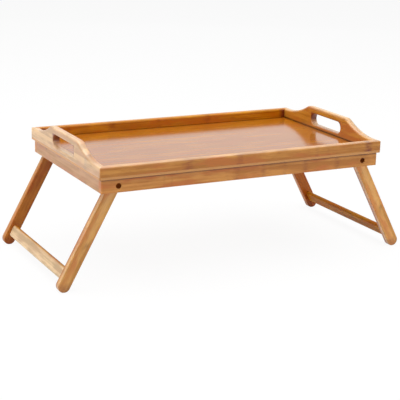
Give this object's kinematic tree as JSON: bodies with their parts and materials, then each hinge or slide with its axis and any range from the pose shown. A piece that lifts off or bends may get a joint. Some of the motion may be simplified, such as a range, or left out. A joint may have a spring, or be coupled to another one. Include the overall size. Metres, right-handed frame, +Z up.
{
  "type": "bed tray table",
  "caption": "Shallow bamboo tray with a slotted, ogee-topped handle board at each end, standing on splayed leg frames that fold up flat under it.",
  "frame": {"origin": "on the floor under the middle of the tray, with the leg frames standing open", "axes": "+X along the tray towards its right handle, +Y from the front rail to the back rail, +Z up"},
  "size_m": [0.6186, 0.3, 0.2121],
  "materials": {
    "frame_wood": "clear-varnished laminated bamboo, satin gloss",
    "panel_wood": "clear-varnished laminated bamboo, satin gloss",
    "apron_wood": "clear-varnished laminated bamboo, satin gloss",
    "crossbar_wood": "clear-varnished laminated bamboo, satin gloss",
    "leg_wood": "clear-varnished laminated bamboo, satin gloss",
    "bolt_steel": "dark zinc plated",
    "washer_steel": "zinc plated",
    "nut_steel": "zinc plated",
    "joint_wood": "bare wood"
  },
  "bodies": {
    "tray": {"front_rail": "frame_wood", "back_rail": "frame_wood", "left_end_board": "frame_wood", "right_end_board": "frame_wood", "tray_panel": "panel_wood", "front_apron": "apron_wood", "back_apron": "apron_wood", "left_apron": "apron_wood", "right_apron": "apron_wood", "front_left_pivot_bolt": "bolt_steel", "front_right_pivot_bolt": "bolt_steel", "back_left_pivot_bolt": "bolt_steel", "back_right_pivot_bolt": "bolt_steel", "front_left_pivot_washer": "washer_steel", "front_right_pivot_washer": "washer_steel", "back_left_pivot_washer": "washer_steel", "back_right_pivot_washer": "washer_steel", "front_left_pivot_nut": "nut_steel", "front_right_pivot_nut": "nut_steel", "back_left_pivot_nut": "nut_steel", "back_right_pivot_nut": "nut_steel", "front_left_corner_key": "joint_wood", "front_right_corner_key": "joint_wood", "back_left_corner_key": "joint_wood", "back_right_corner_key": "joint_wood", "front_left_apron_dowel": "joint_wood", "front_right_apron_dowel": "joint_wood", "back_left_apron_dowel": "joint_wood", "back_right_apron_dowel": "joint_wood", "front_left_frame_dowel_side": "joint_wood", "front_right_frame_dowel_side": "joint_wood", "back_left_frame_dowel_side": "joint_wood", "back_right_frame_dowel_side": "joint_wood", "front_left_frame_dowel_end": "joint_wood", "front_right_frame_dowel_end": "joint_wood", "back_left_frame_dowel_end": "joint_wood", "back_right_frame_dowel_end": "joint_wood"},
    "left_leg_frame": {"front_left_leg": "leg_wood", "back_left_leg": "leg_wood", "left_crossbar": "crossbar_wood"},
    "right_leg_frame": {"front_right_leg": "leg_wood", "back_right_leg": "leg_wood", "right_crossbar": "crossbar_wood"}
  },
  "joints": [
    {"name": "left_leg_fold", "type": "hinge", "parent": "tray", "child": "left_leg_frame", "pos_m": [-0.21773, 0, 0.15997], "axis": [0, -1, 0], "range_deg": [0, 118.5]},
    {"name": "right_leg_fold", "type": "hinge", "parent": "tray", "child": "right_leg_frame", "pos_m": [0.21773, 0, 0.15997], "axis": [0, 1, 0], "range_deg": [0, 118.5]}
  ]
}
